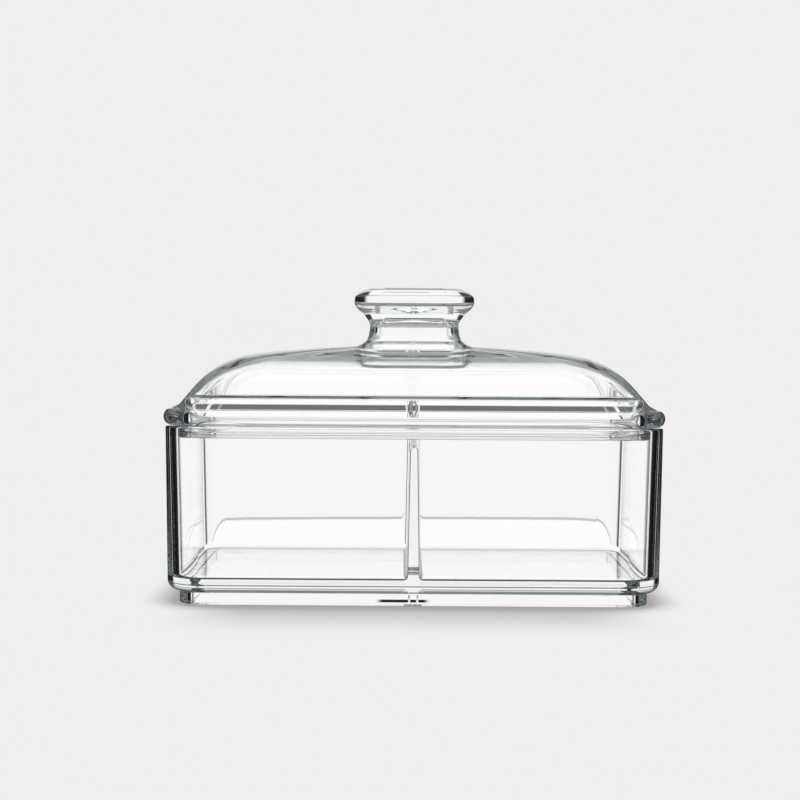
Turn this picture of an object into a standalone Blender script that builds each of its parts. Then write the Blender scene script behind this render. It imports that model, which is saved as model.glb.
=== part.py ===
"""Clear serving box with two compartments and a lift-off domed lid.

Metres, +Z up. The origin is the middle of the underside of the foot, +X runs
along the long side and the front faces -Y. Every hollow shape here is a skin
over level rings: each ring is a rounded rectangle at its own height.
"""

import math

import bmesh
import bpy

# Box, measured over its walls at the rim
BOX_LENGTH = 0.2040
BOX_DEPTH = 0.1110
BOX_HEIGHT = 0.0728
BOX_CORNER_RADIUS = 0.015
WALL_LEAN = 0.0009
RIM_WALL = 0.0042
FLOOR_WALL = 0.0047
RIM_EDGE_RADIUS = 0.001
SHOULDER_RADIUS = 0.0045
FLOOR_TOP = 0.0106
FLOOR_THICKNESS = 0.0052
FLOOR_FILLET = 0.002

# Foot, a low ring under the box that leaves a shallow recess
FOOT_HEIGHT = 0.0052
FOOT_INSET = 0.0049
FOOT_WALL = 0.0046
FOOT_EDGE_RADIUS = 0.0008
RECESS_FILLET = 0.001

# Divider, tapered for the mould, standing on the floor between the long walls and
# ending below the lid's skirt
DIVIDER_CLEARANCE = 0.0032
DIVIDER_FOOT_THICKNESS = 0.0044
DIVIDER_TOP_THICKNESS = 0.0026
DIVIDER_FILLET = 0.0008

# Lid rim, which rests on the box's rim, and the skirt that drops inside it
SEAT_GAP = 0.0003
LID_OVERHANG = 0.0008
LID_RIM_HEIGHT = 0.0073
LID_RIM_ROUND = 0.0027
LID_LEDGE = 0.0071
LID_LEDGE_RISE = 0.0012
LEDGE_FILLET = 0.0008
SKIRT_CLEARANCE = 0.0008
SKIRT_DROP = 0.0052
SKIRT_WALL = 0.0043
SKIRT_EDGE_RADIUS = 0.001
SKIRT_LEAN = 0.0003

# Dome of the lid
DOME_CORNER_RADIUS = 0.010
DOME_RISE = 0.0248
DOME_SIDE_WALL = 0.0048
DOME_CROWN_WALL = 0.0045
# Level rings: share of the rise, of the half length, of the half depth, and of
# the way from the base's corner radius to a fully round end
DOME_LEVEL_SHARES = (
    (0.000, 1.000, 1.000, 0.00),
    (0.150, 0.973, 0.951, 0.04),
    (0.380, 0.933, 0.874, 0.12),
    (0.540, 0.897, 0.800, 0.22),
    (0.730, 0.826, 0.650, 0.40),
    (0.845, 0.738, 0.480, 0.60),
    (0.912, 0.540, 0.310, 0.80),
    (0.970, 0.290, 0.160, 0.95),
    (0.995, 0.120, 0.065, 1.00),
)

# Knob, measured over the head; outline points step in from its widest ring
KNOB_LENGTH = 0.0521
KNOB_DEPTH = 0.0361
KNOB_CORNER_RADIUS = 0.0105
KNOB_HEAD_HEIGHT = 0.0150
KNOB_NECK_HEIGHT = 0.0100
KNOB_FOOT_SINK = 0.0009
KNOB_NECK_INSET = 0.00685
KNOB_FOOT_INSET = 0.0022
KNOB_WALL = 0.0037
KNOB_CEILING_WALL = 0.0086
KNOB_DISH_DEPTH = 0.0034
HOLLOW_FILLET = 0.001
# Shares of the head's height above its neck, and of the neck's inset
HEAD_OUTLINE_SHARES = (
    (0.00, 0.96),
    (0.08, 0.88),
    (0.15, 0.76),
    (0.25, 0.60),
    (0.33, 0.38),
    (0.42, 0.17),
    (0.50, 0.06),
    (0.60, 0.00),
    (0.70, 0.02),
    (0.78, 0.09),
    (0.87, 0.33),
    (0.95, 0.65),
    (1.00, 0.98),
)
# Shares of the neck's height above the foot, and of the way from foot to neck
NECK_OUTLINE_SHARES = (
    (0.00, 0.00),
    (0.07, 0.20),
    (0.14, 0.40),
    (0.23, 0.64),
    (0.33, 0.80),
    (0.59, 0.95),
    (0.85, 1.00),
)
# Shares of the dish's depth, and of the way in from its edge to its middle
DISH_OUTLINE_SHARES = (
    (0.00, 0.00),
    (0.12, 0.12),
    (0.45, 0.40),
    (0.85, 0.75),
    (1.00, 0.94),
)

# The roundest end of a ring, as a share of its half depth, keeps a short straight run
ROUND_END_SHARE = 0.97
TIGHTEST_RADIUS = 0.0008
CRISP_EDGE_DEGREES = 35

CORNER_STEPS = 8
ARC_STEPS = 4
CURVE_STEPS = 2

# Heights that follow from the sizes above
LID_SEAT_Z = BOX_HEIGHT + SEAT_GAP
SKIRT_FOOT_Z = LID_SEAT_Z - SKIRT_DROP
DIVIDER_TOP_Z = SKIRT_FOOT_Z - DIVIDER_CLEARANCE
DOME_BASE_Z = LID_SEAT_Z + LID_RIM_HEIGHT + LID_LEDGE_RISE
KNOB_FOOT_Z = DOME_BASE_Z + DOME_RISE - KNOB_FOOT_SINK
KNOB_NECK_TOP_Z = KNOB_FOOT_Z + KNOB_NECK_HEIGHT
KNOB_TOP_Z = KNOB_NECK_TOP_Z + KNOB_HEAD_HEIGHT
KNOB_HOLLOW_TOP_Z = KNOB_TOP_Z - KNOB_DISH_DEPTH - KNOB_CEILING_WALL

CLEAR = (0.93, 0.96, 0.95, 1.0)


def remove_scene_objects():
    """Start from an empty scene."""
    for scene_object in list(bpy.data.objects):
        bpy.data.objects.remove(scene_object, do_unlink=True)


def clear_material(name):
    """Water-clear plastic with a polished surface."""
    material = bpy.data.materials.new(name)
    material.use_nodes = True
    shader = material.node_tree.nodes["Principled BSDF"]
    shader.inputs["Base Color"].default_value = CLEAR
    shader.inputs["Roughness"].default_value = 0.03
    shader.inputs["Metallic"].default_value = 0.0
    shader.inputs["IOR"].default_value = 1.49
    shader.inputs["Transmission Weight"].default_value = 1.0
    return material


def arc(centre_out, centre_z, radius, start_degrees, end_degrees, steps=ARC_STEPS):
    """Points (out, z) along an arc of a cross-section."""
    points = []
    for step in range(steps + 1):
        angle = math.radians(start_degrees + (end_degrees - start_degrees) * step / steps)
        points.append((centre_out + radius * math.cos(angle), centre_z + radius * math.sin(angle)))
    return points


def smooth_through(points, steps=CURVE_STEPS):
    """A smooth curve through a list of points, each a tuple of numbers."""
    result = []
    last = len(points) - 1
    for index in range(last):
        before = points[max(index - 1, 0)]
        start = points[index]
        end = points[index + 1]
        after = points[min(index + 2, last)]
        for step in range(steps):
            t = step / steps
            result.append(tuple(
                0.5 * (2 * b + (c - a) * t + (2 * a - 5 * b + 4 * c - d) * t * t
                       + (3 * b - a - 3 * c + d) * t ** 3)
                for a, b, c, d in zip(before, start, end, after)))
    result.append(tuple(points[last]))
    return result


def ring_outline(half_length, half_depth, radius):
    """Plan points of a rounded rectangle, anticlockwise from the +X side."""
    radius = min(max(radius, TIGHTEST_RADIUS), ROUND_END_SHARE * min(half_length, half_depth))
    corners = (
        (half_length - radius, half_depth - radius, 0),
        (radius - half_length, half_depth - radius, 90),
        (radius - half_length, radius - half_depth, 180),
        (half_length - radius, radius - half_depth, 270),
    )
    points = []
    for centre_x, centre_y, start in corners:
        for step in range(CORNER_STEPS + 1):
            angle = math.radians(start + 90 * step / CORNER_STEPS)
            points.append((centre_x + radius * math.cos(angle), centre_y + radius * math.sin(angle)))
    return points


def level_points(level):
    """Corner places of one level (half length, half depth, corner radius, height)."""
    half_length, half_depth, radius, height = level
    return [(x, y, height) for x, y in ring_outline(half_length, half_depth, radius)]


def raise_ring(mesh, corners, edges, places):
    """Extrude a ring of edges and move its new corners to their places."""
    swept = bmesh.ops.extrude_edge_only(mesh, edges=edges)["geom"]
    fresh = {item for item in swept if isinstance(item, bmesh.types.BMVert)}
    raised = []
    for corner, place in zip(corners, places):
        partner = next(edge.other_vert(corner) for edge in corner.link_edges
                       if edge.other_vert(corner) in fresh)
        partner.co = place
        raised.append(partner)
    new_edges = [item for item in swept if isinstance(item, bmesh.types.BMEdge)
                 and item.verts[0] in fresh and item.verts[1] in fresh]
    return raised, new_edges


def skin_levels(name, levels):
    """A closed body skinned over level rings, with its first and last ring filled."""
    mesh = bmesh.new()
    corners = [mesh.verts.new(place) for place in level_points(levels[0])]
    edges = [mesh.edges.new((corners[i - 1], corners[i])) for i in range(len(corners))]
    mesh.faces.new(corners)
    for level in levels[1:]:
        corners, edges = raise_ring(mesh, corners, edges, level_points(level))
    mesh.faces.new(corners)
    bmesh.ops.recalc_face_normals(mesh, faces=mesh.faces)
    return finish_object(name, mesh)


def finish_object(name, mesh):
    """Put a mesh into the scene as a smooth-shaded object with crisp edges kept."""
    data = bpy.data.meshes.new(name)
    mesh.to_mesh(data)
    mesh.free()
    data.shade_smooth()
    data.set_sharp_from_angle(angle=math.radians(CRISP_EDGE_DEGREES))
    scene_object = bpy.data.objects.new(name, data)
    bpy.context.scene.collection.objects.link(scene_object)
    return scene_object


def cut_or_join(body, tool, operation):
    """Boolean with a hidden tool."""
    tool.hide_render = True
    tool.display_type = "WIRE"
    modifier = body.modifiers.new(tool.name, "BOOLEAN")
    modifier.operation = operation
    modifier.solver = "EXACT"
    modifier.object = tool


def box_level(out, height):
    """A level ring that stands off the box's rim outline by out."""
    return (BOX_LENGTH / 2 + out, BOX_DEPTH / 2 + out, BOX_CORNER_RADIUS + out, height)


def box_section():
    """Cross-section (out, z) from the recess under the box, round the foot and up, to the floor."""
    wall_foot = -WALL_LEAN
    foot_side = wall_foot - FOOT_INSET
    recess_side = foot_side - FOOT_WALL
    recess_top = FLOOR_TOP - FLOOR_THICKNESS
    inner_foot = wall_foot - FLOOR_WALL
    section = arc(recess_side - RECESS_FILLET, recess_top - RECESS_FILLET, RECESS_FILLET, 90, 0)
    section += arc(recess_side + FOOT_EDGE_RADIUS, FOOT_EDGE_RADIUS, FOOT_EDGE_RADIUS, 180, 270)
    section += arc(foot_side - FOOT_EDGE_RADIUS, FOOT_EDGE_RADIUS, FOOT_EDGE_RADIUS, 270, 360)
    section.append((foot_side, FOOT_HEIGHT))
    section += arc(wall_foot - SHOULDER_RADIUS, FOOT_HEIGHT + SHOULDER_RADIUS, SHOULDER_RADIUS, 270, 360)
    section += arc(-RIM_EDGE_RADIUS, BOX_HEIGHT - RIM_EDGE_RADIUS, RIM_EDGE_RADIUS, 0, 90)
    section += arc(RIM_EDGE_RADIUS - RIM_WALL, BOX_HEIGHT - RIM_EDGE_RADIUS, RIM_EDGE_RADIUS, 90, 180)
    section += arc(inner_foot - FLOOR_FILLET, FLOOR_TOP + FLOOR_FILLET, FLOOR_FILLET, 0, -90)
    return section


def make_divider():
    """Tapered plate that stands across the floor and ends inside the long walls and the floor."""
    half_foot = DIVIDER_FOOT_THICKNESS / 2
    half_top = DIVIDER_TOP_THICKNESS / 2
    sunk = FLOOR_TOP - FLOOR_THICKNESS / 2
    side = [(half_foot + DIVIDER_FILLET, sunk)]
    side += arc(half_foot + DIVIDER_FILLET, FLOOR_TOP + DIVIDER_FILLET, DIVIDER_FILLET, 270, 180)
    side += arc(0, DIVIDER_TOP_Z - half_top, half_top, 0, 90)
    outline = side + [(-x, z) for x, z in reversed(side[:-1])]
    half_run = BOX_DEPTH / 2 - WALL_LEAN - FLOOR_WALL / 2
    mesh = bmesh.new()
    corners = [mesh.verts.new((x, -half_run, z)) for x, z in outline]
    face = mesh.faces.new(corners)
    swept = bmesh.ops.extrude_face_region(mesh, geom=[face])["geom"]
    moved = [item for item in swept if isinstance(item, bmesh.types.BMVert)]
    bmesh.ops.translate(mesh, verts=moved, vec=(0, 2 * half_run, 0))
    bmesh.ops.recalc_face_normals(mesh, faces=mesh.faces)
    return finish_object("divider_tool", mesh)


def make_box():
    """Floor, walls, shoulder, foot and divider in one moulding."""
    box = skin_levels("box", [box_level(out, height) for out, height in box_section()])
    cut_or_join(box, make_divider(), "UNION")
    box.data.materials.append(clear_material("box_clear"))
    return box


def dome_levels(half_length, half_depth, base_radius, base_height, rise):
    """Level rings of the dome's outer or inner face, from its base to its crown."""
    levels = []
    for rise_share, length_share, depth_share, round_share in smooth_through(DOME_LEVEL_SHARES):
        half_y = half_depth * depth_share
        radius = min(base_radius, half_y) * (1 - round_share) + half_y * round_share
        levels.append((half_length * length_share, half_y, radius, base_height + rise * rise_share))
    return levels


def dome_sizes(extra=0.0):
    """Half length, half depth, corner radius, height and rise of the dome, grown by extra."""
    inset = LID_OVERHANG - LID_LEDGE + extra
    return (BOX_LENGTH / 2 + inset, BOX_DEPTH / 2 + inset, DOME_CORNER_RADIUS + extra,
            DOME_BASE_Z, DOME_RISE + extra)


def make_lid():
    """Dome, ledge, rolled rim and skirt in one moulding."""
    half_length, half_depth, radius, base_height, rise = dome_sizes()
    side = DOME_SIDE_WALL
    inner = dome_levels(half_length - side, half_depth - side, radius - side,
                        base_height, rise - DOME_CROWN_WALL)
    outer = dome_levels(half_length, half_depth, radius, base_height, rise)
    skirt_out = -RIM_WALL - SKIRT_CLEARANCE
    ledge_in = LID_OVERHANG - LID_LEDGE
    half_rim = LID_RIM_HEIGHT / 2
    skirt_in = skirt_out - SKIRT_WALL
    section = [(skirt_in, LID_SEAT_Z)]
    section += arc(skirt_in + SKIRT_LEAN + SKIRT_EDGE_RADIUS,
                   SKIRT_FOOT_Z + SKIRT_EDGE_RADIUS, SKIRT_EDGE_RADIUS, 180, 270)
    section += arc(skirt_out - SKIRT_LEAN - SKIRT_EDGE_RADIUS,
                   SKIRT_FOOT_Z + SKIRT_EDGE_RADIUS, SKIRT_EDGE_RADIUS, 270, 360)
    section.append((skirt_out, LID_SEAT_Z))
    for out, height in arc(0, 0, 1, -90, 90, 2 * ARC_STEPS):
        section.append((LID_OVERHANG - LID_RIM_ROUND * (1 - out), LID_SEAT_Z + half_rim * (1 + height)))
    section.append((ledge_in + LEDGE_FILLET, base_height - LEDGE_FILLET / 2))
    rim = [box_level(out, height) for out, height in section]
    lid = skin_levels("lid", list(reversed(inner)) + rim + outer)
    lid.data.materials.append(clear_material("lid_clear"))
    return lid


def knob_level(out, height):
    """A level ring that stands off the knob head's widest outline by out."""
    return (KNOB_LENGTH / 2 + out, KNOB_DEPTH / 2 + out, KNOB_CORNER_RADIUS + out, height)


def knob_outline():
    """Outer outline (out, z) of the knob from below its foot to the edge of its dish."""
    foot_to_neck = KNOB_NECK_INSET - KNOB_FOOT_INSET
    points = [(-KNOB_FOOT_INSET - foot_to_neck * across, KNOB_FOOT_Z + KNOB_NECK_HEIGHT * up)
              for up, across in NECK_OUTLINE_SHARES]
    points += [(-KNOB_NECK_INSET * inward, KNOB_NECK_TOP_Z + KNOB_HEAD_HEIGHT * up)
               for up, inward in HEAD_OUTLINE_SHARES]
    return smooth_through(points)


def knob_dish():
    """Levels of the shallow dish in the head's top, from its edge to its middle."""
    edge_in = KNOB_NECK_INSET * HEAD_OUTLINE_SHARES[-1][1]
    half_length, half_depth, radius, height = knob_level(-edge_in, KNOB_TOP_Z)
    return [(half_length * (1 - inward), half_depth * (1 - inward), radius * (1 - inward),
             height - KNOB_DISH_DEPTH * down)
            for down, inward in smooth_through(DISH_OUTLINE_SHARES)[1:]]


def make_knob_hollow():
    """The space inside the knob's neck, open at its foot."""
    foot_to_neck = KNOB_NECK_INSET - KNOB_FOOT_INSET
    points = [(-KNOB_FOOT_INSET - KNOB_WALL, KNOB_FOOT_Z - DOME_RISE)]
    points += [(-KNOB_FOOT_INSET - foot_to_neck * across - KNOB_WALL, KNOB_FOOT_Z + KNOB_NECK_HEIGHT * up)
               for up, across in NECK_OUTLINE_SHARES[:-1]]
    side_out = -KNOB_NECK_INSET - KNOB_WALL
    points += arc(side_out - HOLLOW_FILLET, KNOB_HOLLOW_TOP_Z - HOLLOW_FILLET, HOLLOW_FILLET, 0, 90)
    return skin_levels("knob_hollow_tool", [knob_level(out, height) for out, height in points])


def make_knob():
    """Handle with a dished head and a hollow, flared neck, seated on the lid's crown."""
    outline = knob_outline()
    below = [(outline[0][0], KNOB_FOOT_Z - DOME_RISE / 2)]
    levels = [knob_level(out, height) for out, height in below + outline]
    knob = skin_levels("knob", levels + knob_dish())
    half_length, half_depth, radius, base_height, rise = dome_sizes(SEAT_GAP)
    crown = skin_levels("crown_tool", dome_levels(half_length, half_depth, radius, base_height, rise))
    cut_or_join(knob, make_knob_hollow(), "DIFFERENCE")
    cut_or_join(knob, crown, "DIFFERENCE")
    knob.data.materials.append(clear_material("knob_clear"))
    return knob


def main():
    """Build the three mouldings; the knob rides on the lid, which lifts straight up."""
    remove_scene_objects()
    make_box()
    make_lid()
    make_knob()


main()
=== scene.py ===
"""Looks of the clear serving box: water-clear mouldings in a bright studio.

The box and the lid are each one continuous moulding. Their walls are swept and
raised ring by ring with bmesh operators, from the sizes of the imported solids.
"""

import math

import bmesh
import bpy
from mathutils import Matrix, Vector


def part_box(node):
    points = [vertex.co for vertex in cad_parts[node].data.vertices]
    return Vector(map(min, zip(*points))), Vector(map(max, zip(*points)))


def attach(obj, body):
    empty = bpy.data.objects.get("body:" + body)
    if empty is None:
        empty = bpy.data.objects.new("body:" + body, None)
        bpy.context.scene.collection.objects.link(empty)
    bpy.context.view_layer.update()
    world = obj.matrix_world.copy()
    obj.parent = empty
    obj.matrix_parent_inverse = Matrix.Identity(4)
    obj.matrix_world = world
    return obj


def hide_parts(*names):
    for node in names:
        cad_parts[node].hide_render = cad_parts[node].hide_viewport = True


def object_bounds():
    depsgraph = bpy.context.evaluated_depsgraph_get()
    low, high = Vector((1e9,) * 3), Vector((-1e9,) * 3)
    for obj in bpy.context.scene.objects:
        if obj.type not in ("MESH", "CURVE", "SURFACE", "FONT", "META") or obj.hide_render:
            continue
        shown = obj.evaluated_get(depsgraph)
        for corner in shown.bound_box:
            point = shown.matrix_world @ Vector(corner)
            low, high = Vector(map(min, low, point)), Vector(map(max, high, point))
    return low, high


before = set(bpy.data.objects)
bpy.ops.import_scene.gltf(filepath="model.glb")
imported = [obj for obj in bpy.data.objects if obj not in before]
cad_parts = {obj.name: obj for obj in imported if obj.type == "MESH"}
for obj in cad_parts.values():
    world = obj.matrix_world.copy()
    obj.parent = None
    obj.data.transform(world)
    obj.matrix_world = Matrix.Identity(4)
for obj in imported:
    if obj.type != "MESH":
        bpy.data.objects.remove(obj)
cad_low, cad_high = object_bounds()

MM = 0.001

# Box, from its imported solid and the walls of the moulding
box_low, box_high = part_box("box")
BOX_HALF_X = (box_high[0] - box_low[0]) / 2
BOX_HALF_Y = (box_high[1] - box_low[1]) / 2
BOX_TOP = box_high[2]
BOX_CORNER = 15.0 * MM
WALL_LEAN = 0.9 * MM
RIM_WALL = 4.2 * MM
FLOOR_WALL = 4.7 * MM
RIM_EDGE = 1.0 * MM
SHOULDER = 4.5 * MM
FLOOR_TOP = 10.6 * MM
FLOOR_THICKNESS = 5.2 * MM
FLOOR_FILLET = 2.0 * MM
FOOT_HEIGHT = 5.2 * MM
FOOT_INSET = 4.9 * MM
FOOT_WALL = 4.6 * MM
FOOT_EDGE = 0.8 * MM
RECESS_FILLET = 1.0 * MM

# Compartments: their own corners, and the divider that is left between them
DIVIDER_FRONT_CORNER = 0.8 * MM
DIVIDER_BACK_CORNER = 3.0 * MM
DIVIDER_TOP = 64.7 * MM
DIVIDER_TOP_HALF = 1.3 * MM
DIVIDER_SHOULDER = DIVIDER_TOP - DIVIDER_TOP_HALF
DIVIDER_FOOT_HALF = 2.2 * MM

# Lid rim and skirt
LID_SEAT = BOX_TOP + 0.3 * MM
LID_OVERHANG = 0.8 * MM
LID_RIM_HEIGHT = 6.7 * MM
LID_RIM_ROUND = 2.7 * MM
LID_LEDGE = 7.1 * MM
LID_LEDGE_RISE = 2.2 * MM
LEDGE_FILLET = 0.8 * MM
LEDGE_DROP = LEDGE_FILLET / 2
SKIRT_CLEARANCE = 0.8 * MM
SKIRT_DROP = 5.2 * MM
SKIRT_WALL = 4.3 * MM
SKIRT_EDGE = 1.0 * MM
SKIRT_LEAN = 0.3 * MM

# Inside the lid a small rounded step, from the skirt in to the foot of the dome
STEP_WIDTH = 3.0 * MM
STEP_RISE = 1.4 * MM
STEP_FOOT = 0.9 * MM
INNER_BASE = 2.5 * MM
STEP_TURNS = (90, 75, 60, 45, 30, 15, 0)

# Dome
DOME_BASE = LID_SEAT + LID_RIM_HEIGHT + LID_LEDGE_RISE
DOME_CORNER = 7.0 * MM
DOME_RISE = 24.4 * MM
DOME_SIDE_WALL = 6.0 * MM
DOME_CROWN_WALL = 4.5 * MM
# Level rings: share of the rise, of the half length, of the half depth, and of
# the way from the base's corner radius to a fully round end
DOME_LEVEL_SHARES = (
    (0.000, 1.000, 1.000, 0.00),
    (0.150, 0.973, 0.951, 0.04),
    (0.380, 0.933, 0.874, 0.12),
    (0.540, 0.897, 0.800, 0.22),
    (0.730, 0.826, 0.650, 0.40),
    (0.845, 0.738, 0.480, 0.60),
    (0.912, 0.540, 0.310, 0.80),
    (0.970, 0.290, 0.160, 0.95),
    (0.995, 0.120, 0.065, 1.00),
)

# Knob: widest outline of its head, and outline points that step in from it
KNOB_HALF_X = 26.05 * MM
KNOB_HALF_Y = 18.05 * MM
KNOB_CORNER = 13.0 * MM
KNOB_TOP = cad_high[2]
KNOB_HEAD_HEIGHT = 15.0 * MM
KNOB_NECK_HEIGHT = 10.0 * MM
KNOB_NECK_INSET = 6.85 * MM
KNOB_FOOT_INSET = 2.2 * MM
KNOB_FOOT_FILLET = 1.5 * MM
KNOB_DISH_DEPTH = 4.2 * MM
HEAD_OUTLINE_SHARES = (
    (0.00, 0.96),
    (0.08, 0.88),
    (0.15, 0.76),
    (0.25, 0.60),
    (0.33, 0.38),
    (0.42, 0.17),
    (0.50, 0.06),
    (0.60, 0.00),
    (0.70, 0.02),
    (0.78, 0.09),
    (0.87, 0.33),
    (0.95, 0.65),
    (1.00, 0.98),
)
NECK_OUTLINE_SHARES = (
    (0.07, 0.20),
    (0.14, 0.40),
    (0.23, 0.64),
    (0.33, 0.80),
    (0.59, 0.95),
    (0.85, 1.00),
)
DISH_OUTLINE_SHARES = (
    (0.00, 0.00),
    (0.12, 0.12),
    (0.45, 0.40),
    (0.85, 0.75),
    (1.00, 0.94),
)
# The hollow inside the neck: height above the crown's top, and how far it stands in
HOLLOW_OUTLINE = (
    (13.3 * MM, 13.6 * MM),
    (13.1 * MM, 13.1 * MM),
    (11.3 * MM, 12.2 * MM),
    (8.9 * MM, 11.1 * MM),
    (8.3 * MM, 10.5 * MM),
    (7.3 * MM, 10.2 * MM),
    (4.0 * MM, 9.7 * MM),
    (0.9 * MM, 7.9 * MM),
    (-2.0 * MM, 5.5 * MM),
    (-4.0 * MM, 2.5 * MM),
)
CROWN_JOIN_SHARE = 0.845

CORNER_STEPS = 20
ARC_STEPS = 8
CURVE_STEPS = 5
JOIN_STEPS = 12
DOME_STEPS = 8
DOME_EVEN_PASSES = 80
TIGHTEST_RADIUS = 0.8 * MM
ROUND_END_SHARE = 0.97
MERGE_DISTANCE = 0.001 * MM
TINY = 0.0001 * MM
HEIGHT_TRIES = 30
LEAST_SLOPE = 0.001

# Clear plastic: its tint by depth, and a faint ripple that is longer up the walls
CLEAR = (1.0, 1.0, 1.0, 1.0)
PLASTIC_IOR = 1.49
TINT = (0.50, 0.65, 0.60, 1.0)
TINT_DENSITY = 1.0
RIPPLE_SCALE = (1.0, 1.0, 0.35)
RIPPLES_PER_METRE = 90.0
RIPPLE_DETAIL = 1.0
RIPPLE_HEIGHT = 0.006 * MM
BOX_PATTERN = (0.0, 0.0, 0.0)
LID_PATTERN = (0.37, 0.11, 0.0)

# The view: focal length and vanishing point in pixels of the 800-pixel frame
SENSOR = 36
IMAGE_PIXELS = 800
FOCAL_PIXELS = 1500
VANISHING_X = 403
VANISHING_Y = 343
CAMERA_ROLL = 0.35
CAMERA_PLACE = Vector((-4.66 * MM, -BOX_HALF_Y - 600 * MM, 106.9 * MM))

# Floor, its contact shadow, and the soft patch of shadow in front of the foot
PALE = (0.863, 0.863, 0.863, 1)
SHADOW = (0.38, 0.38, 0.38, 1)
FLOOR_HALF = 8.0
SHADOW_SAMPLES = 16
SHADOW_REACH = 18 * MM
SHADOW_RANGE = (0.35, 0.95)
CAST_SIDES = (102 * MM, 62 * MM)
CAST_FRONT = (-BOX_HALF_Y - 58 * MM, -BOX_HALF_Y + 6 * MM)
CAST_BACK = (50 * MM, -20 * MM)
CAST_STRENGTH = 0.70

# Light tent: the tones that the object's first surfaces show, and those that light
# shows once it has been inside the box
TENT_RADIUS = 3.0
TENT_SUBDIVISIONS = 4
FIRST_TENT = (
    (1.0, 1.0, 1.0, 1),  # window
    (1.0, 1.0, 1.0, 1),  # booth floor, low in the window: a painted pool of light on the table behind the box
    (0.008, 0.008, 0.011, 1),  # flags beside the window
    (0.38, 0.41, 0.41, 1),  # cornice above it
    (0.66, 0.71, 0.70, 1),  # ceiling
    (0.0, 0.0, 0.0, 1),  # front, behind the photograph's camera
    (0.05, 0.05, 0.055, 1),  # table, painted dark as the shade under and round the box
    (0.05, 0.05, 0.055, 1),  # underneath, painted dark as the shade under the box
)
INNER_TENT = (
    (1.05, 1.06, 1.04, 1),
    # booth floor: a painted pool of light, brighter than the window
    (1.12, 1.12, 1.12, 1),
    (0.05, 0.05, 0.05, 1),
    (0.40, 0.43, 0.43, 1),
    (0.66, 0.71, 0.70, 1),
    (0.3, 0.3, 0.3, 1),
    # table, painted dark as the shade under and round the box
    (0.08, 0.08, 0.08, 1),
    (1.0, 1.0, 1.0, 1),
)
# Light is deep after this many surfaces, reflected or trapped after this many reflections,
# and trapped light is dark
DEEP = (2.5, 3.5)
REFLECTED = (0.4, 0.6)
TRAPPED = (1.5, 4.0)
DARK = (0.24, 0.265, 0.28, 1)
# Edges of the tent's parts: a direction's share across, up or toward the front
FLAG_EDGE = (0.22, 0.30)
INNER_FLAG_EDGE = (0.26, 0.31)
CORNICE_EDGE = (0.27, 0.35)
CEILING_EDGE = (0.58, 0.70)
TABLE_EDGE = (-0.45, -0.20)
INNER_TABLE_EDGE = (-0.55, -0.45)
UNDER_EDGE = (-0.85, -0.92)
INNER_UNDER_EDGE = (-0.58, -0.64)
FRONT_EDGE = (-0.1, 0.1)
# Light that was never reflected meets the flags only in strips beside the window, and the
# table only in a sector below it, so that the object is bright from its other sides
STRIP_END = (0.78, 0.72)
INNER_STRIP_END = (0.38, 0.34)
STRIP_FOOT = (-0.30, -0.20)
STRIP_DEPTH = (0.1, -0.1)
SECTOR_SIDES = (0.30, 0.24)
SECTOR_DEPTH = (-0.40, -0.55)
# Booth's floor panel, a painted pool of light on the table behind the box, with a painted shadow
# line round it
BOOTH_MIDDLE = 0.0035
BOOTH_FAR = -0.0843
BOOTH_STRAIGHT = 0.103
BOOTH_ROUNDING = 2.0
BOOTH_HALF = 0.137
BOOTH_SPREAD = 4.0
SHADOW_LINE_HALF = 0.0008
SHADOW_LINE_EDGE = (SHADOW_LINE_HALF / 2, SHADOW_LINE_HALF * 1.5)
SHADOW_LINE = (0.6, 0.6, 0.6, 1)
# A narrow dark blue card low in front of the window, which the foot shows in its middle
CARD = (0.013, 0.017, 0.045, 1)
CARD_HEIGHT = -0.119
CARD_MIDDLE = 0.002
CARD_THICKNESS = (0.0060, 0.0050)
CARD_LENGTH = (0.0185, 0.0135)

MOST_BOUNCES = 16


def arc(centre_out, centre_z, radius, start_degrees, end_degrees, steps=ARC_STEPS):
    """Points (out, z) along an arc of a cross-section."""
    points = []
    for step in range(steps + 1):
        angle = math.radians(start_degrees + (end_degrees - start_degrees) * step / steps)
        points.append((centre_out + radius * math.cos(angle),
                       centre_z + radius * math.sin(angle)))
    return points


def smooth_through(points, steps=CURVE_STEPS):
    """A smooth curve through a list of points, each a tuple of numbers."""
    result = []
    last = len(points) - 1
    for index in range(last):
        before = points[max(index - 1, 0)]
        start = points[index]
        end = points[index + 1]
        after = points[min(index + 2, last)]
        for step in range(steps):
            t = step / steps
            result.append(tuple(
                0.5 * (2 * b + (c - a) * t + (2 * a - 5 * b + 4 * c - d) * t * t
                       + (3 * b - a - 3 * c + d) * t ** 3)
                for a, b, c, d in zip(before, start, end, after)))
    result.append(tuple(points[last]))
    return result


def even_out(points, passes):
    """The same run of points with its small unevenness taken out, and both ends kept."""
    for _ in range(passes):
        inner = [tuple((a + 2 * b + c) / 4 for a, b, c in zip(*three))
                 for three in zip(points, points[1:], points[2:])]
        points = [points[0]] + inner + [points[-1]]
    return points


DOME_CURVE = even_out(smooth_through(DOME_LEVEL_SHARES, DOME_STEPS), DOME_EVEN_PASSES)


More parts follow.
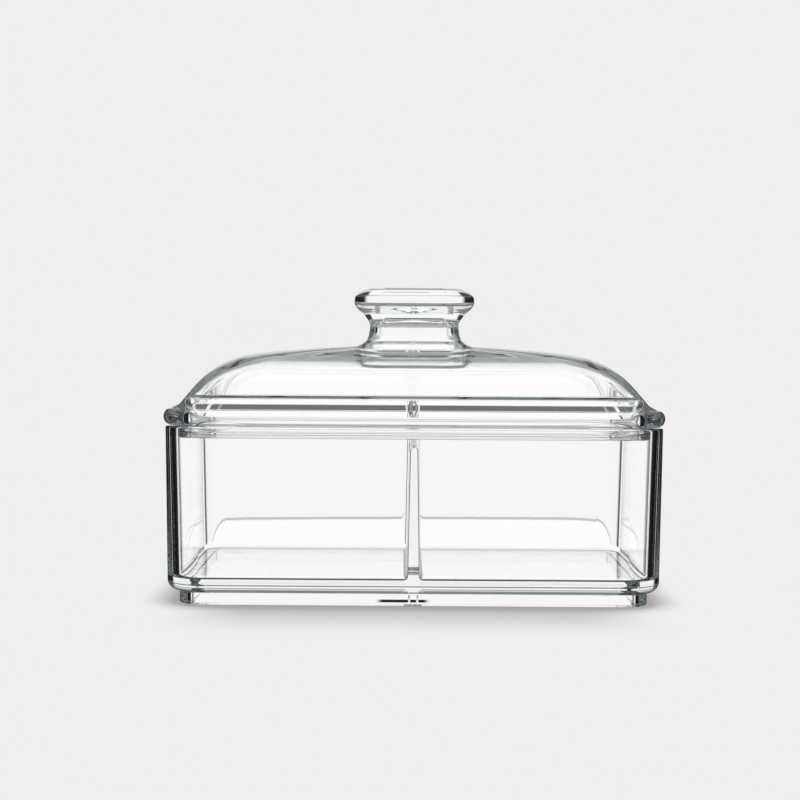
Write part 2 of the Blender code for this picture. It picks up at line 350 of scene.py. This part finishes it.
def ring_outline(half_x, half_y, radii):
    """Plan points of a rounded rectangle, anticlockwise from +X, with one radius or four."""
    if not isinstance(radii, tuple):
        radii = (radii,) * 4
    points = []
    sides = ((1, 1), (-1, 1), (-1, -1), (1, -1))
    for radius, (side_x, side_y), start in zip(radii, sides, (0, 90, 180, 270)):
        radius = min(max(radius, TIGHTEST_RADIUS), ROUND_END_SHARE * min(half_x, half_y))
        centre_x = side_x * (half_x - radius)
        centre_y = side_y * (half_y - radius)
        for step in range(CORNER_STEPS + 1):
            angle = math.radians(start + 90 * step / CORNER_STEPS)
            points.append((centre_x + radius * math.cos(angle),
                           centre_y + radius * math.sin(angle)))
    return points


def level_ring(half_x, half_y, radius, height):
    """A level ring of points."""
    return [Vector((x, y, height)) for x, y in ring_outline(half_x, half_y, radius)]


def raise_chain(mesh, corners, edges, places):
    """Extrude a chain of edges and move its new corners to their places."""
    swept = bmesh.ops.extrude_edge_only(mesh, edges=edges)["geom"]
    fresh = {item for item in swept if isinstance(item, bmesh.types.BMVert)}
    raised = []
    for corner, place in zip(corners, places):
        partner = next(edge.other_vert(corner) for edge in corner.link_edges
                       if edge.other_vert(corner) in fresh)
        partner.co = place
        raised.append(partner)
    new_edges = [item for item in swept if isinstance(item, bmesh.types.BMEdge)
                 and item.verts[0] in fresh and item.verts[1] in fresh]
    return raised, new_edges


def start_ring(mesh, places):
    """A closed ring of corners and edges."""
    corners = [mesh.verts.new(place) for place in places]
    edges = [mesh.edges.new((corners[i - 1], corners[i])) for i in range(len(corners))]
    return corners, edges


def finish_piece(name, mesh):
    """Close a mesh's seams and put it into the scene, smooth, with even normals."""
    bmesh.ops.remove_doubles(mesh, verts=mesh.verts, dist=MERGE_DISTANCE)
    bmesh.ops.recalc_face_normals(mesh, faces=mesh.faces)
    data = bpy.data.meshes.new(name)
    mesh.to_mesh(data)
    mesh.free()
    data.shade_smooth()
    piece = bpy.data.objects.new(name, data)
    bpy.context.scene.collection.objects.link(piece)
    normals = piece.modifiers.new("even_normals", "WEIGHTED_NORMAL")
    normals.keep_sharp = True
    return piece


def box_level(out, height):
    """A level ring that stands off the box's rim outline by out."""
    return level_ring(BOX_HALF_X + out, BOX_HALF_Y + out, BOX_CORNER + out, height)


# lid

def dome_size(share, wall_x=0.0, wall_z=0.0):
    """Half length, half depth, corner radius and height of the dome at a share of its rise."""
    for low, high in zip(DOME_CURVE, DOME_CURVE[1:]):
        if low[0] <= share <= high[0]:
            break
    part = (share - low[0]) / (high[0] - low[0])
    _, length_share, depth_share, round_share = (a + (b - a) * part for a, b in zip(low, high))
    inset = LID_OVERHANG - LID_LEDGE - wall_x
    half_x = (BOX_HALF_X + inset) * length_share
    half_y = (BOX_HALF_Y + inset) * depth_share
    radius = min(DOME_CORNER - wall_x, half_y) * (1 - round_share) + half_y * round_share
    lift = INNER_BASE if wall_z else 0.0
    return half_x, half_y, radius, DOME_BASE + lift + (DOME_RISE - wall_z - lift) * share


def dome_levels(wall_x, wall_z, top_share):
    """Level rings of the dome's outer or inner face, from its base up to a share of its rise."""
    shares = [row[0] for row in DOME_CURVE if row[0] < top_share] + [top_share]
    return [level_ring(*dome_size(share, wall_x, wall_z)) for share in shares]


def beyond(size, x, y):
    """How far a plan point stands outside a rounded rectangle."""
    half_x, half_y, radius, _ = size
    radius = min(max(radius, TIGHTEST_RADIUS), ROUND_END_SHARE * min(half_x, half_y))
    side_x = abs(x) - half_x + radius
    side_y = abs(y) - half_y + radius
    return math.hypot(max(side_x, 0), max(side_y, 0)) + min(max(side_x, side_y), 0) - radius


def dome_height(x, y, wall_x=0.0, wall_z=0.0):
    """Height of the dome's face over a plan point near its crown."""
    low, high = 0.0, DOME_CURVE[-1][0]
    if beyond(dome_size(high, wall_x, wall_z), x, y) < 0:
        return dome_size(high, wall_x, wall_z)[3]
    for _ in range(HEIGHT_TRIES):
        middle = (low + high) / 2
        if beyond(dome_size(middle, wall_x, wall_z), x, y) < 0:
            low = middle
        else:
            high = middle
    return dome_size(low, wall_x, wall_z)[3]


def crown_join(inner_outline, wall_x, wall_z):
    """Rings over the crown, from the dome's shoulder to an outline round the knob's foot."""
    outer = ring_outline(*dome_size(CROWN_JOIN_SHARE, wall_x, wall_z)[:3])
    rings = []
    for step in range(1, JOIN_STEPS + 1):
        part = step / JOIN_STEPS
        ring = []
        for (ax, ay), (bx, by) in zip(outer, inner_outline):
            x, y = ax + (bx - ax) * part, ay + (by - ay) * part
            ring.append(Vector((x, y, dome_height(x, y, wall_x, wall_z))))
        rings.append(ring)
    return rings


def knob_ring(out, height):
    """A level ring that stands off the knob head's widest outline by out."""
    return level_ring(KNOB_HALF_X + out, KNOB_HALF_Y + out, KNOB_CORNER + out, height)


def knob_rings():
    """Rings up the outside of the knob, from just above its foot to the middle of its dish."""
    neck_top = KNOB_TOP - KNOB_HEAD_HEIGHT
    foot = neck_top - KNOB_NECK_HEIGHT
    foot_to_neck = KNOB_NECK_INSET - KNOB_FOOT_INSET
    points = [(-KNOB_FOOT_INSET - foot_to_neck * across, foot + KNOB_NECK_HEIGHT * up)
              for up, across in NECK_OUTLINE_SHARES]
    points += [(-KNOB_NECK_INSET * inward, neck_top + KNOB_HEAD_HEIGHT * up)
               for up, inward in HEAD_OUTLINE_SHARES]
    rings = [knob_ring(out, height) for out, height in smooth_through(points)]
    edge_in = KNOB_NECK_INSET * HEAD_OUTLINE_SHARES[-1][1]
    edge_sizes = (KNOB_HALF_X - edge_in, KNOB_HALF_Y - edge_in, KNOB_CORNER - edge_in)
    for down, inward in smooth_through(DISH_OUTLINE_SHARES)[1:]:
        sizes = [size * (1 - inward) for size in edge_sizes]
        rings.append(level_ring(*sizes, KNOB_TOP - KNOB_DISH_DEPTH * down))
    return rings


def hollow_rings():
    """Rings down the hollow of the knob, from its ceiling to its flared mouth."""
    crown_top = DOME_BASE + DOME_RISE
    return [knob_ring(-inward, crown_top + up) for up, inward in smooth_through(HOLLOW_OUTLINE)]


def rim_rings():
    """Rings down the inside of the skirt, round it, out round the rim and in over the ledge."""
    skirt_out = -RIM_WALL - SKIRT_CLEARANCE
    skirt_in = skirt_out - SKIRT_WALL
    skirt_foot = LID_SEAT - SKIRT_DROP + SKIRT_EDGE
    section = []
    for turn in STEP_TURNS:
        angle = math.radians(turn)
        section.append((skirt_in - STEP_WIDTH * (1 - math.cos(angle)),
                        DOME_BASE + STEP_FOOT + STEP_RISE * math.sin(angle)))
    section.append((skirt_in, LID_SEAT))
    section += arc(skirt_in + SKIRT_LEAN + SKIRT_EDGE, skirt_foot, SKIRT_EDGE, 180, 270)
    section += arc(skirt_out - SKIRT_LEAN - SKIRT_EDGE, skirt_foot, SKIRT_EDGE, 270, 360)
    section.append((skirt_out, LID_SEAT))
    for out, height in arc(0, 0, 1, -90, 90, 3 * ARC_STEPS):
        section.append((LID_OVERHANG - LID_RIM_ROUND * (1 - out),
                        LID_SEAT + LID_RIM_HEIGHT / 2 * (1 + height)))
    section.append((LID_OVERHANG - LID_LEDGE + LEDGE_FILLET, DOME_BASE - LEDGE_DROP))
    return [box_level(out, height) for out, height in section]


def make_lid():
    """Knob, dome, ledge, rim and skirt in one continuous moulding."""
    hollow = hollow_rings()
    mouth = [(point.x, point.y) for point in hollow[-1]]
    under = dome_levels(DOME_SIDE_WALL, DOME_CROWN_WALL, CROWN_JOIN_SHARE)
    under += crown_join(mouth, DOME_SIDE_WALL, DOME_CROWN_WALL)
    foot = [(point.x, point.y) for point in knob_ring(KNOB_FOOT_FILLET - KNOB_FOOT_INSET, 0)]
    over = dome_levels(0, 0, CROWN_JOIN_SHARE) + crown_join(foot, 0, 0)
    rings = hollow[:-1] + list(reversed(under)) + rim_rings() + over + knob_rings()
    mesh = bmesh.new()
    corners, edges = start_ring(mesh, rings[0])
    mesh.faces.new(corners)
    for ring in rings[1:]:
        corners, edges = raise_chain(mesh, corners, edges, ring)
    mesh.faces.new(corners)
    return finish_piece("lid_and_knob", mesh)


# box

def wall_in(height):
    """How far the compartments' outer sides stand in from the rim's outline at a height."""
    share = (BOX_TOP - height) / (BOX_TOP - FLOOR_TOP)
    return RIM_WALL + (WALL_LEAN + FLOOR_WALL - RIM_WALL) * share


def divider_half(height):
    """Half the divider's thickness at a height below its rounded top."""
    share = (DIVIDER_SHOULDER - height) / (DIVIDER_SHOULDER - FLOOR_TOP)
    return DIVIDER_TOP_HALF + (DIVIDER_FOOT_HALF - DIVIDER_TOP_HALF) * share


def pocket_ring(height, shrink=0.0):
    """Outline of the left compartment: its outer corners first, then its two at the divider."""
    outer = wall_in(height) + shrink
    left = outer - BOX_HALF_X
    right = -divider_half(height) - shrink
    turn = BOX_CORNER - wall_in(height)
    radii = (DIVIDER_BACK_CORNER, turn, turn, DIVIDER_FRONT_CORNER)
    radii = tuple(radius - shrink for radius in radii)
    outline = ring_outline((right - left) / 2, BOX_HALF_Y - outer, radii)
    turned = outline[CORNER_STEPS + 1:] + outline[:CORNER_STEPS + 1]
    return [Vector(((left + right) / 2 + x, y, height)) for x, y in turned]


def row_ends(turn, radius):
    """Where rows from a corner at the divider end: on the wall, or in the divider's middle."""
    wall = turn[0].y
    facing = 1 if wall < 0 else -1
    centre = Vector((turn[0].x, wall + facing * radius, 0))
    corner = Vector((0, wall, 0))
    snapped = min(range(len(turn)), key=lambda index: (
        (turn[index] - centre).xy.angle((corner - centre).xy)))
    ends = []
    for index, start in enumerate(turn):
        way = start - centre
        way.z = 0
        way.normalize()
        to_middle = -start.x / way.x if way.x > LEAST_SLOPE else math.inf
        to_wall = (wall - start.y) / way.y if -facing * way.y > LEAST_SLOPE else math.inf
        end = start + way * min(to_middle, to_wall)
        ends.append(Vector((0, wall, end.z)) if index == snapped else end)
    return ends


def divider_rows(side):
    """Rows over the divider's rounded top, from the compartment to the middle and the walls."""
    half = -side[len(side) // 2].x
    ends = row_ends(side[:CORNER_STEPS + 1], DIVIDER_FRONT_CORNER)
    ends += row_ends(side[:CORNER_STEPS:-1], DIVIDER_BACK_CORNER)[::-1]
    rows = []
    for step in range(1, ARC_STEPS + 1):
        angle = math.radians(90 * step / ARC_STEPS)
        reach = half * (1 - math.cos(angle))
        rows.append([over_divider(start, end, reach) for start, end in zip(side, ends)])
    rows.append([over_divider(start, end, math.inf) for start, end in zip(side, ends)])
    return rows


def over_divider(start, end, reach):
    """A point at some reach from the compartment towards the end of its row, at its height."""
    run = end - start
    reach = min(reach, run.length)
    point = start + (run.normalized() * reach if run.length > TINY else Vector())
    short = max(DIVIDER_TOP_HALF - reach, 0)
    point.z = DIVIDER_SHOULDER + math.sqrt(DIVIDER_TOP_HALF ** 2 - short ** 2)
    return point


def open_chain(mesh):
    """The open chain of corners round the foot of the upper walls, from front to back."""
    edges = [edge for edge in mesh.edges if edge.is_boundary
             and max(abs(corner.co.x) for corner in edge.verts) > TINY]
    touched = {}
    for edge in edges:
        for corner in edge.verts:
            touched.setdefault(corner, []).append(edge)
    corner = min((c for c, linked in touched.items() if len(linked) == 1), key=lambda c: c.co.y)
    chain, used = [corner], set()
    while True:
        following = [edge for edge in touched[corner] if edge not in used]
        if not following:
            return chain, edges
        used.add(following[0])
        corner = following[0].other_vert(corner)
        chain.append(corner)


def half_outline(half_x, half_y, radius, height, front_places, back_places):
    """The left half of a rounded rectangle, with given places along its long walls."""
    outline = ring_outline(half_x, half_y, radius)
    corners = outline[CORNER_STEPS + 1:3 * (CORNER_STEPS + 1)]
    points = [(x, -half_y) for x in front_places] + corners[::-1]
    points += [(x, half_y) for x in back_places]
    return [Vector((x, y, height)) for x, y in points]


def outer_levels():
    """Levels (out, radius, z) from the rim's inner edge, down the wall and round the foot."""
    wall_foot = -WALL_LEAN
    foot_side = wall_foot - FOOT_INSET
    recess_side = foot_side - FOOT_WALL
    recess_top = FLOOR_TOP - FLOOR_THICKNESS
    section = arc(RIM_EDGE - RIM_WALL, BOX_TOP - RIM_EDGE, RIM_EDGE, 180, 90)
    levels = [(out, BOX_CORNER + out, height) for out, height in section]
    section = arc(-RIM_EDGE, BOX_TOP - RIM_EDGE, RIM_EDGE, 90, 0)
    section += arc(wall_foot - SHOULDER, FOOT_HEIGHT + SHOULDER, SHOULDER, 0, -90)
    section.append((foot_side, FOOT_HEIGHT))
    section += arc(foot_side - FOOT_EDGE, FOOT_EDGE, FOOT_EDGE, 0, -90)
    section += arc(recess_side + FOOT_EDGE, FOOT_EDGE, FOOT_EDGE, -90, -180)
    section += arc(recess_side - RECESS_FILLET, recess_top - RECESS_FILLET,
                   RECESS_FILLET, 0, 90)
    return levels + [(out, BOX_CORNER + out, height) for out, height in section]


def make_box():
    """Floor, walls, shoulder, foot and divider: the left half, mirrored."""
    mesh = bmesh.new()
    side_ring = pocket_ring(DIVIDER_SHOULDER)
    ring, ring_edges = start_ring(mesh, side_ring)
    corners, edges = ring, ring_edges
    fillet_height = FLOOR_TOP + FLOOR_FILLET
    for step in range(ARC_STEPS + 1):
        angle = math.radians(90 * step / ARC_STEPS)
        places = pocket_ring(fillet_height, FLOOR_FILLET * (1 - math.cos(angle)))
        for place in places:
            place.z = fillet_height - FLOOR_FILLET * math.sin(angle)
        corners, edges = raise_chain(mesh, corners, edges, places)
    mesh.faces.new(corners)

    first = 2 * (CORNER_STEPS + 1)
    corners = ring[first:]
    edges = [edge for edge in ring_edges
             if all(corner in corners for corner in edge.verts)]
    for row in divider_rows(side_ring[first:]):
        corners, edges = raise_chain(mesh, corners, edges, row)
    bmesh.ops.remove_doubles(mesh, verts=mesh.verts, dist=MERGE_DISTANCE)

    corners, edges = open_chain(mesh)
    turn_start = corners.index(ring[first - 1])
    front_places = [corner.co.x for corner in corners[:turn_start]]
    back_places = [corner.co.x for corner in corners[turn_start + first:]]
    for out, radius, height in outer_levels():
        places = half_outline(BOX_HALF_X + out, BOX_HALF_Y + out, radius, height,
                              front_places, back_places)
        corners, edges = raise_chain(mesh, corners, edges, places)
    mesh.faces.new(corners)
    everything = mesh.verts[:] + mesh.edges[:] + mesh.faces[:]
    bmesh.ops.mirror(mesh, geom=everything, axis="X", merge_dist=MERGE_DISTANCE)
    return finish_piece("divided_box", mesh)


# finishes

def new_material(name):
    """An empty node material and its nodes and links."""
    material = bpy.data.materials.new(name)
    material.use_nodes = True
    nodes, links = material.node_tree.nodes, material.node_tree.links
    return material, nodes, links


def clear_plastic(name, pattern):
    """Water-clear polished plastic with the faint ripple of a moulded surface."""
    material, nodes, links = new_material(name)
    shader = nodes["Principled BSDF"]
    shader.inputs["Base Color"].default_value = CLEAR
    shader.inputs["Transmission Weight"].default_value = 1.0
    shader.inputs["Roughness"].default_value = 0.0
    shader.inputs["IOR"].default_value = PLASTIC_IOR
    place = nodes.new("ShaderNodeTexCoord")
    stretch = nodes.new("ShaderNodeMapping")
    stretch.inputs["Location"].default_value = pattern
    stretch.inputs["Scale"].default_value = RIPPLE_SCALE
    links.new(place.outputs["Object"], stretch.inputs["Vector"])
    ripple = nodes.new("ShaderNodeTexNoise")
    ripple.inputs["Scale"].default_value = RIPPLES_PER_METRE
    ripple.inputs["Detail"].default_value = RIPPLE_DETAIL
    links.new(stretch.outputs["Vector"], ripple.inputs["Vector"])
    relief = nodes.new("ShaderNodeBump")
    relief.inputs["Distance"].default_value = RIPPLE_HEIGHT
    links.new(ripple.outputs["Fac"], relief.inputs["Height"])
    links.new(relief.outputs["Normal"], shader.inputs["Normal"])
    tint = nodes.new("ShaderNodeVolumeAbsorption")
    tint.inputs["Color"].default_value = TINT
    tint.inputs["Density"].default_value = TINT_DENSITY
    links.new(tint.outputs["Volume"], nodes["Material Output"].inputs["Volume"])
    return material


# studio

def math_node(nodes, links, operation, first, second=0.0):
    """A math node fed by sockets or numbers."""
    node = nodes.new("ShaderNodeMath")
    node.operation = operation
    for socket, value in zip(node.inputs, (first, second)):
        if isinstance(value, (int, float)):
            socket.default_value = value
        else:
            links.new(value, socket)
    return node.outputs[0]


def product_node(nodes, links, first, second):
    """Two shares multiplied."""
    return math_node(nodes, links, "MULTIPLY", first, second)


def distance_node(nodes, links, value, middle):
    """How far a value lies from a middle value, on either side."""
    return math_node(nodes, links, "ABSOLUTE", math_node(nodes, links, "SUBTRACT", value, middle))


def blend_node(nodes, links, share, first, second):
    """A colour that goes from the first to the second with a share from 0 to 1."""
    node = nodes.new("ShaderNodeMix")
    node.data_type = "RGBA"
    for name, value in (("Factor_Float", share), ("A_Color", first), ("B_Color", second)):
        socket = next(s for s in node.inputs if s.identifier == name)
        if isinstance(value, (int, float, tuple)):
            socket.default_value = value
        else:
            links.new(value, socket)
    return next(s for s in node.outputs if s.identifier == "Result_Color")


def rise_node(nodes, links, value, low, high):
    """A smooth step from 0 at low to 1 at high, which may also be below low."""
    node = nodes.new("ShaderNodeMapRange")
    node.interpolation_type = "SMOOTHSTEP"
    links.new(value, node.inputs["Value"])
    node.inputs["From Min"].default_value = low
    node.inputs["From Max"].default_value = high
    return node.outputs["Result"]


def shine(nodes, links, colour):
    """Send a colour out of a material as plain light."""
    light = nodes.new("ShaderNodeEmission")
    links.new(colour, light.inputs["Color"])
    output = nodes.new("ShaderNodeOutputMaterial")
    links.new(light.outputs[0], output.inputs["Surface"])


def studio_object(name, mesh, material):
    """An object of the studio, with its material."""
    data = bpy.data.meshes.new(name)
    mesh.to_mesh(data)
    mesh.free()
    data.materials.append(material)
    thing = bpy.data.objects.new(name, data)
    bpy.context.scene.collection.objects.link(thing)
    return thing


def make_world():
    """A pale world, seen past the end of the floor."""
    world = bpy.data.worlds.new("studio")
    bpy.context.scene.world = world
    world.use_nodes = True
    background = world.node_tree.nodes["Background"]
    background.inputs["Color"].default_value = PALE
    background.inputs["Strength"].default_value = 1.0


def tent_colour(nodes, links, shares, tones, beside, level, beneath):
    """The tent's colour in a direction, from its window up to the ceiling and down to the table,
    whose dark tone is painted shade.
    """
    window, lit_booth_floor, flag, cornice, ceiling, front, shaded_table, underside = tones
    colour = blend_node(nodes, links, shares["lit_booth_floor"], window, lit_booth_floor)
    colour = blend_node(nodes, links, shares[beside], colour, flag)
    colour = blend_node(nodes, links, shares["above"], colour, cornice)
    colour = blend_node(nodes, links, shares["high"], colour, ceiling)
    colour = blend_node(nodes, links, shares["near"], colour, front)
    colour = blend_node(nodes, links, shares[level], shaded_table, colour)
    return blend_node(nodes, links, shares[beneath], colour, underside)


def outside_booth_floor(nodes, links, across, up):
    """How far a direction lies outside the booth's floor panel, a painted pool of light whose far
    corners are rounded; the painted shadow line follows its edge.
    """
    aside = distance_node(nodes, links, across, BOOTH_MIDDLE)
    corner = math_node(nodes, links, "SUBTRACT", aside, BOOTH_STRAIGHT)
    corner = math_node(nodes, links, "MAXIMUM", corner, 0.0)
    drop = math_node(nodes, links, "POWER", corner, 2.0)
    drop = product_node(nodes, links, drop, BOOTH_ROUNDING)
    far_edge = math_node(nodes, links, "SUBTRACT", BOOTH_FAR, drop)
    beyond_far = math_node(nodes, links, "SUBTRACT", up, far_edge)
    spread = math_node(nodes, links, "SUBTRACT", BOOTH_FAR, up)
    spread = product_node(nodes, links, spread, BOOTH_SPREAD)
    half = math_node(nodes, links, "ADD", spread, BOOTH_HALF)
    beyond_side = math_node(nodes, links, "SUBTRACT", aside, half)
    return math_node(nodes, links, "MAXIMUM", beyond_far, beyond_side)


def keep_pale(nodes, links, shares, across, up, toward, glossy_depth):
    """Leave the tent pale to light that was never reflected, but for two strips and a sector."""
    reflected = rise_node(nodes, links, glossy_depth, *REFLECTED)
    behind = product_node(nodes, links, rise_node(nodes, links, toward, *STRIP_DEPTH),
                          rise_node(nodes, links, up, *STRIP_FOOT))
    for name, edge in (("beside", STRIP_END), ("far_beside", INNER_STRIP_END)):
        strip = product_node(nodes, links, rise_node(nodes, links, across, *edge), behind)
        gate = math_node(nodes, links, "MAXIMUM", reflected, strip)
        shares[name] = product_node(nodes, links, shares[name], gate)
    sector = product_node(nodes, links, rise_node(nodes, links, across, *SECTOR_SIDES),
                          rise_node(nodes, links, toward, *SECTOR_DEPTH))
    gate = math_node(nodes, links, "MAXIMUM", reflected, sector)
    pale = math_node(nodes, links, "SUBTRACT", 1.0, gate)
    for name in ("level", "far_level"):
        shares[name] = math_node(nodes, links, "MAXIMUM", shares[name], pale)
    for name in ("under", "far_under"):
        shares[name] = product_node(nodes, links, shares[name], gate)
    shares["near"] = product_node(nodes, links, shares["near"], reflected)


def card_share(nodes, links, across, up):
    """How much of a direction the small card covers, from 0 to 1."""
    aside = distance_node(nodes, links, across, CARD_MIDDLE)
    above = distance_node(nodes, links, up, CARD_HEIGHT)
    return product_node(nodes, links, rise_node(nodes, links, above, *CARD_THICKNESS),
                        rise_node(nodes, links, aside, *CARD_LENGTH))


def tent_material():
    """Light by direction: one set of tones for the first surfaces and one for deeper light."""
    material, nodes, links = new_material("tent_light")
    nodes.clear()
    place = nodes.new("ShaderNodeTexCoord")
    unit = nodes.new("ShaderNodeVectorMath")
    unit.operation = "NORMALIZE"
    links.new(place.outputs["Object"], unit.inputs[0])
    parts = nodes.new("ShaderNodeSeparateXYZ")
    links.new(unit.outputs[0], parts.inputs[0])
    side, up, toward = parts.outputs
    across = math_node(nodes, links, "ABSOLUTE", side)
    outside = outside_booth_floor(nodes, links, side, up)
    shares = {"lit_booth_floor": rise_node(nodes, links, outside, 0.0, -SHADOW_LINE_HALF)}
    for name, value, edge in (
            ("beside", across, FLAG_EDGE), ("far_beside", across, INNER_FLAG_EDGE),
            ("above", up, CORNICE_EDGE), ("high", up, CEILING_EDGE),
            ("level", up, TABLE_EDGE), ("far_level", up, INNER_TABLE_EDGE),
            ("under", up, UNDER_EDGE), ("far_under", up, INNER_UNDER_EDGE),
            ("near", toward, FRONT_EDGE)):
        shares[name] = rise_node(nodes, links, value, *edge)
    path = nodes.new("ShaderNodeLightPath")
    glossy_depth = path.outputs["Glossy Depth"]
    keep_pale(nodes, links, shares, across, up, toward, glossy_depth)

    first = tent_colour(nodes, links, shares, FIRST_TENT, "beside", "level", "under")
    first = blend_node(nodes, links, card_share(nodes, links, side, up), first, CARD)
    inner = tent_colour(nodes, links, shares, INNER_TENT, "far_beside", "far_level", "far_under")
    # Painted shadow line round the booth's floor panel, for light that has been inside the box
    off_shadow_line = rise_node(nodes, links, math_node(nodes, links, "ABSOLUTE", outside), *SHADOW_LINE_EDGE)
    inner = blend_node(nodes, links, off_shadow_line, SHADOW_LINE, inner)
    deep = rise_node(nodes, links, path.outputs["Transmission Depth"], *DEEP)
    colour = blend_node(nodes, links, deep, first, inner)
    trapped = rise_node(nodes, links, glossy_depth, *TRAPPED)
    shine(nodes, links, blend_node(nodes, links, trapped, colour, DARK))
    return material


def make_tent(camera):
    """A light tent that stands round the object, square to the photograph's view."""
    mesh = bmesh.new()
    bmesh.ops.create_icosphere(mesh, subdivisions=TENT_SUBDIVISIONS, radius=TENT_RADIUS)
    tent = studio_object("light_tent", mesh, tent_material())
    bpy.context.view_layer.update()
    tent.matrix_world = camera.matrix_world.copy()
    tent.visible_camera = False
    tent.visible_diffuse = False
    tent.visible_shadow = False


def floor_material():
    """A pale floor with the object's contact shadow, from ambient occlusion, and a painted patch of
    shadow in front of the foot.
    """
    material, nodes, links = new_material("pale_floor")
    nodes.clear()
    shade = nodes.new("ShaderNodeAmbientOcclusion")
    shade.samples = SHADOW_SAMPLES
    shade.inputs["Distance"].default_value = SHADOW_REACH
    lit = rise_node(nodes, links, shade.outputs["AO"], *SHADOW_RANGE)
    place = nodes.new("ShaderNodeTexCoord")
    parts = nodes.new("ShaderNodeSeparateXYZ")
    links.new(place.outputs["Object"], parts.inputs[0])
    aside = math_node(nodes, links, "ABSOLUTE", parts.outputs["X"])
    # Painted shadow in front of the foot, fading out to the sides and towards the back
    cast = rise_node(nodes, links, aside, *CAST_SIDES)
    for edge in (CAST_FRONT, CAST_BACK):
        cast = product_node(nodes, links, cast, rise_node(nodes, links, parts.outputs["Y"], *edge))
    cast = product_node(nodes, links, cast, CAST_STRENGTH)
    ground = blend_node(nodes, links, cast, PALE, SHADOW)
    shine(nodes, links, blend_node(nodes, links, lit, SHADOW, ground))
    return material


def make_floor():
    """A wide floor that only the camera sees."""
    mesh = bmesh.new()
    bmesh.ops.create_grid(mesh, x_segments=1, y_segments=1, size=FLOOR_HALF)
    floor = studio_object("floor", mesh, floor_material())
    floor.visible_transmission = False
    floor.visible_glossy = False


def make_camera():
    """The photograph's view: level with the lid, a little to the left of the middle."""
    data = bpy.data.cameras.new("camera")
    data.sensor_width = SENSOR
    data.lens = SENSOR * FOCAL_PIXELS / IMAGE_PIXELS
    camera = bpy.data.objects.new("camera", data)
    bpy.context.scene.collection.objects.link(camera)
    pitch = math.atan2(IMAGE_PIXELS / 2 - VANISHING_Y, FOCAL_PIXELS)
    yaw = math.atan2(VANISHING_X - IMAGE_PIXELS / 2, FOCAL_PIXELS)
    turn = Matrix.Rotation(yaw, 4, "Z") @ Matrix.Rotation(math.radians(90) - pitch, 4, "X")
    turn = turn @ Matrix.Rotation(math.radians(CAMERA_ROLL), 4, "Z")
    camera.matrix_world = Matrix.Translation(CAMERA_PLACE) @ turn
    bpy.context.scene.camera = camera
    return camera


box_piece = make_box()
lid_piece = make_lid()
for piece, nodes_replaced, body, slot, pattern in (
        (box_piece, ("box",), "box", "box_clear", BOX_PATTERN),
        (lid_piece, ("lid", "knob"), "lid", "lid_clear", LID_PATTERN)):
    piece.data.materials.append(clear_plastic(piece.name + "_clear", pattern))
    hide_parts(*nodes_replaced)
    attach(piece, body)
make_world()
make_floor()
make_tent(make_camera())
bpy.context.scene.view_settings.view_transform = "Standard"
bpy.context.scene.cycles.max_bounces = MOST_BOUNCES
bpy.context.scene.cycles.glossy_bounces = MOST_BOUNCES
bpy.context.scene.cycles.transmission_bounces = MOST_BOUNCES
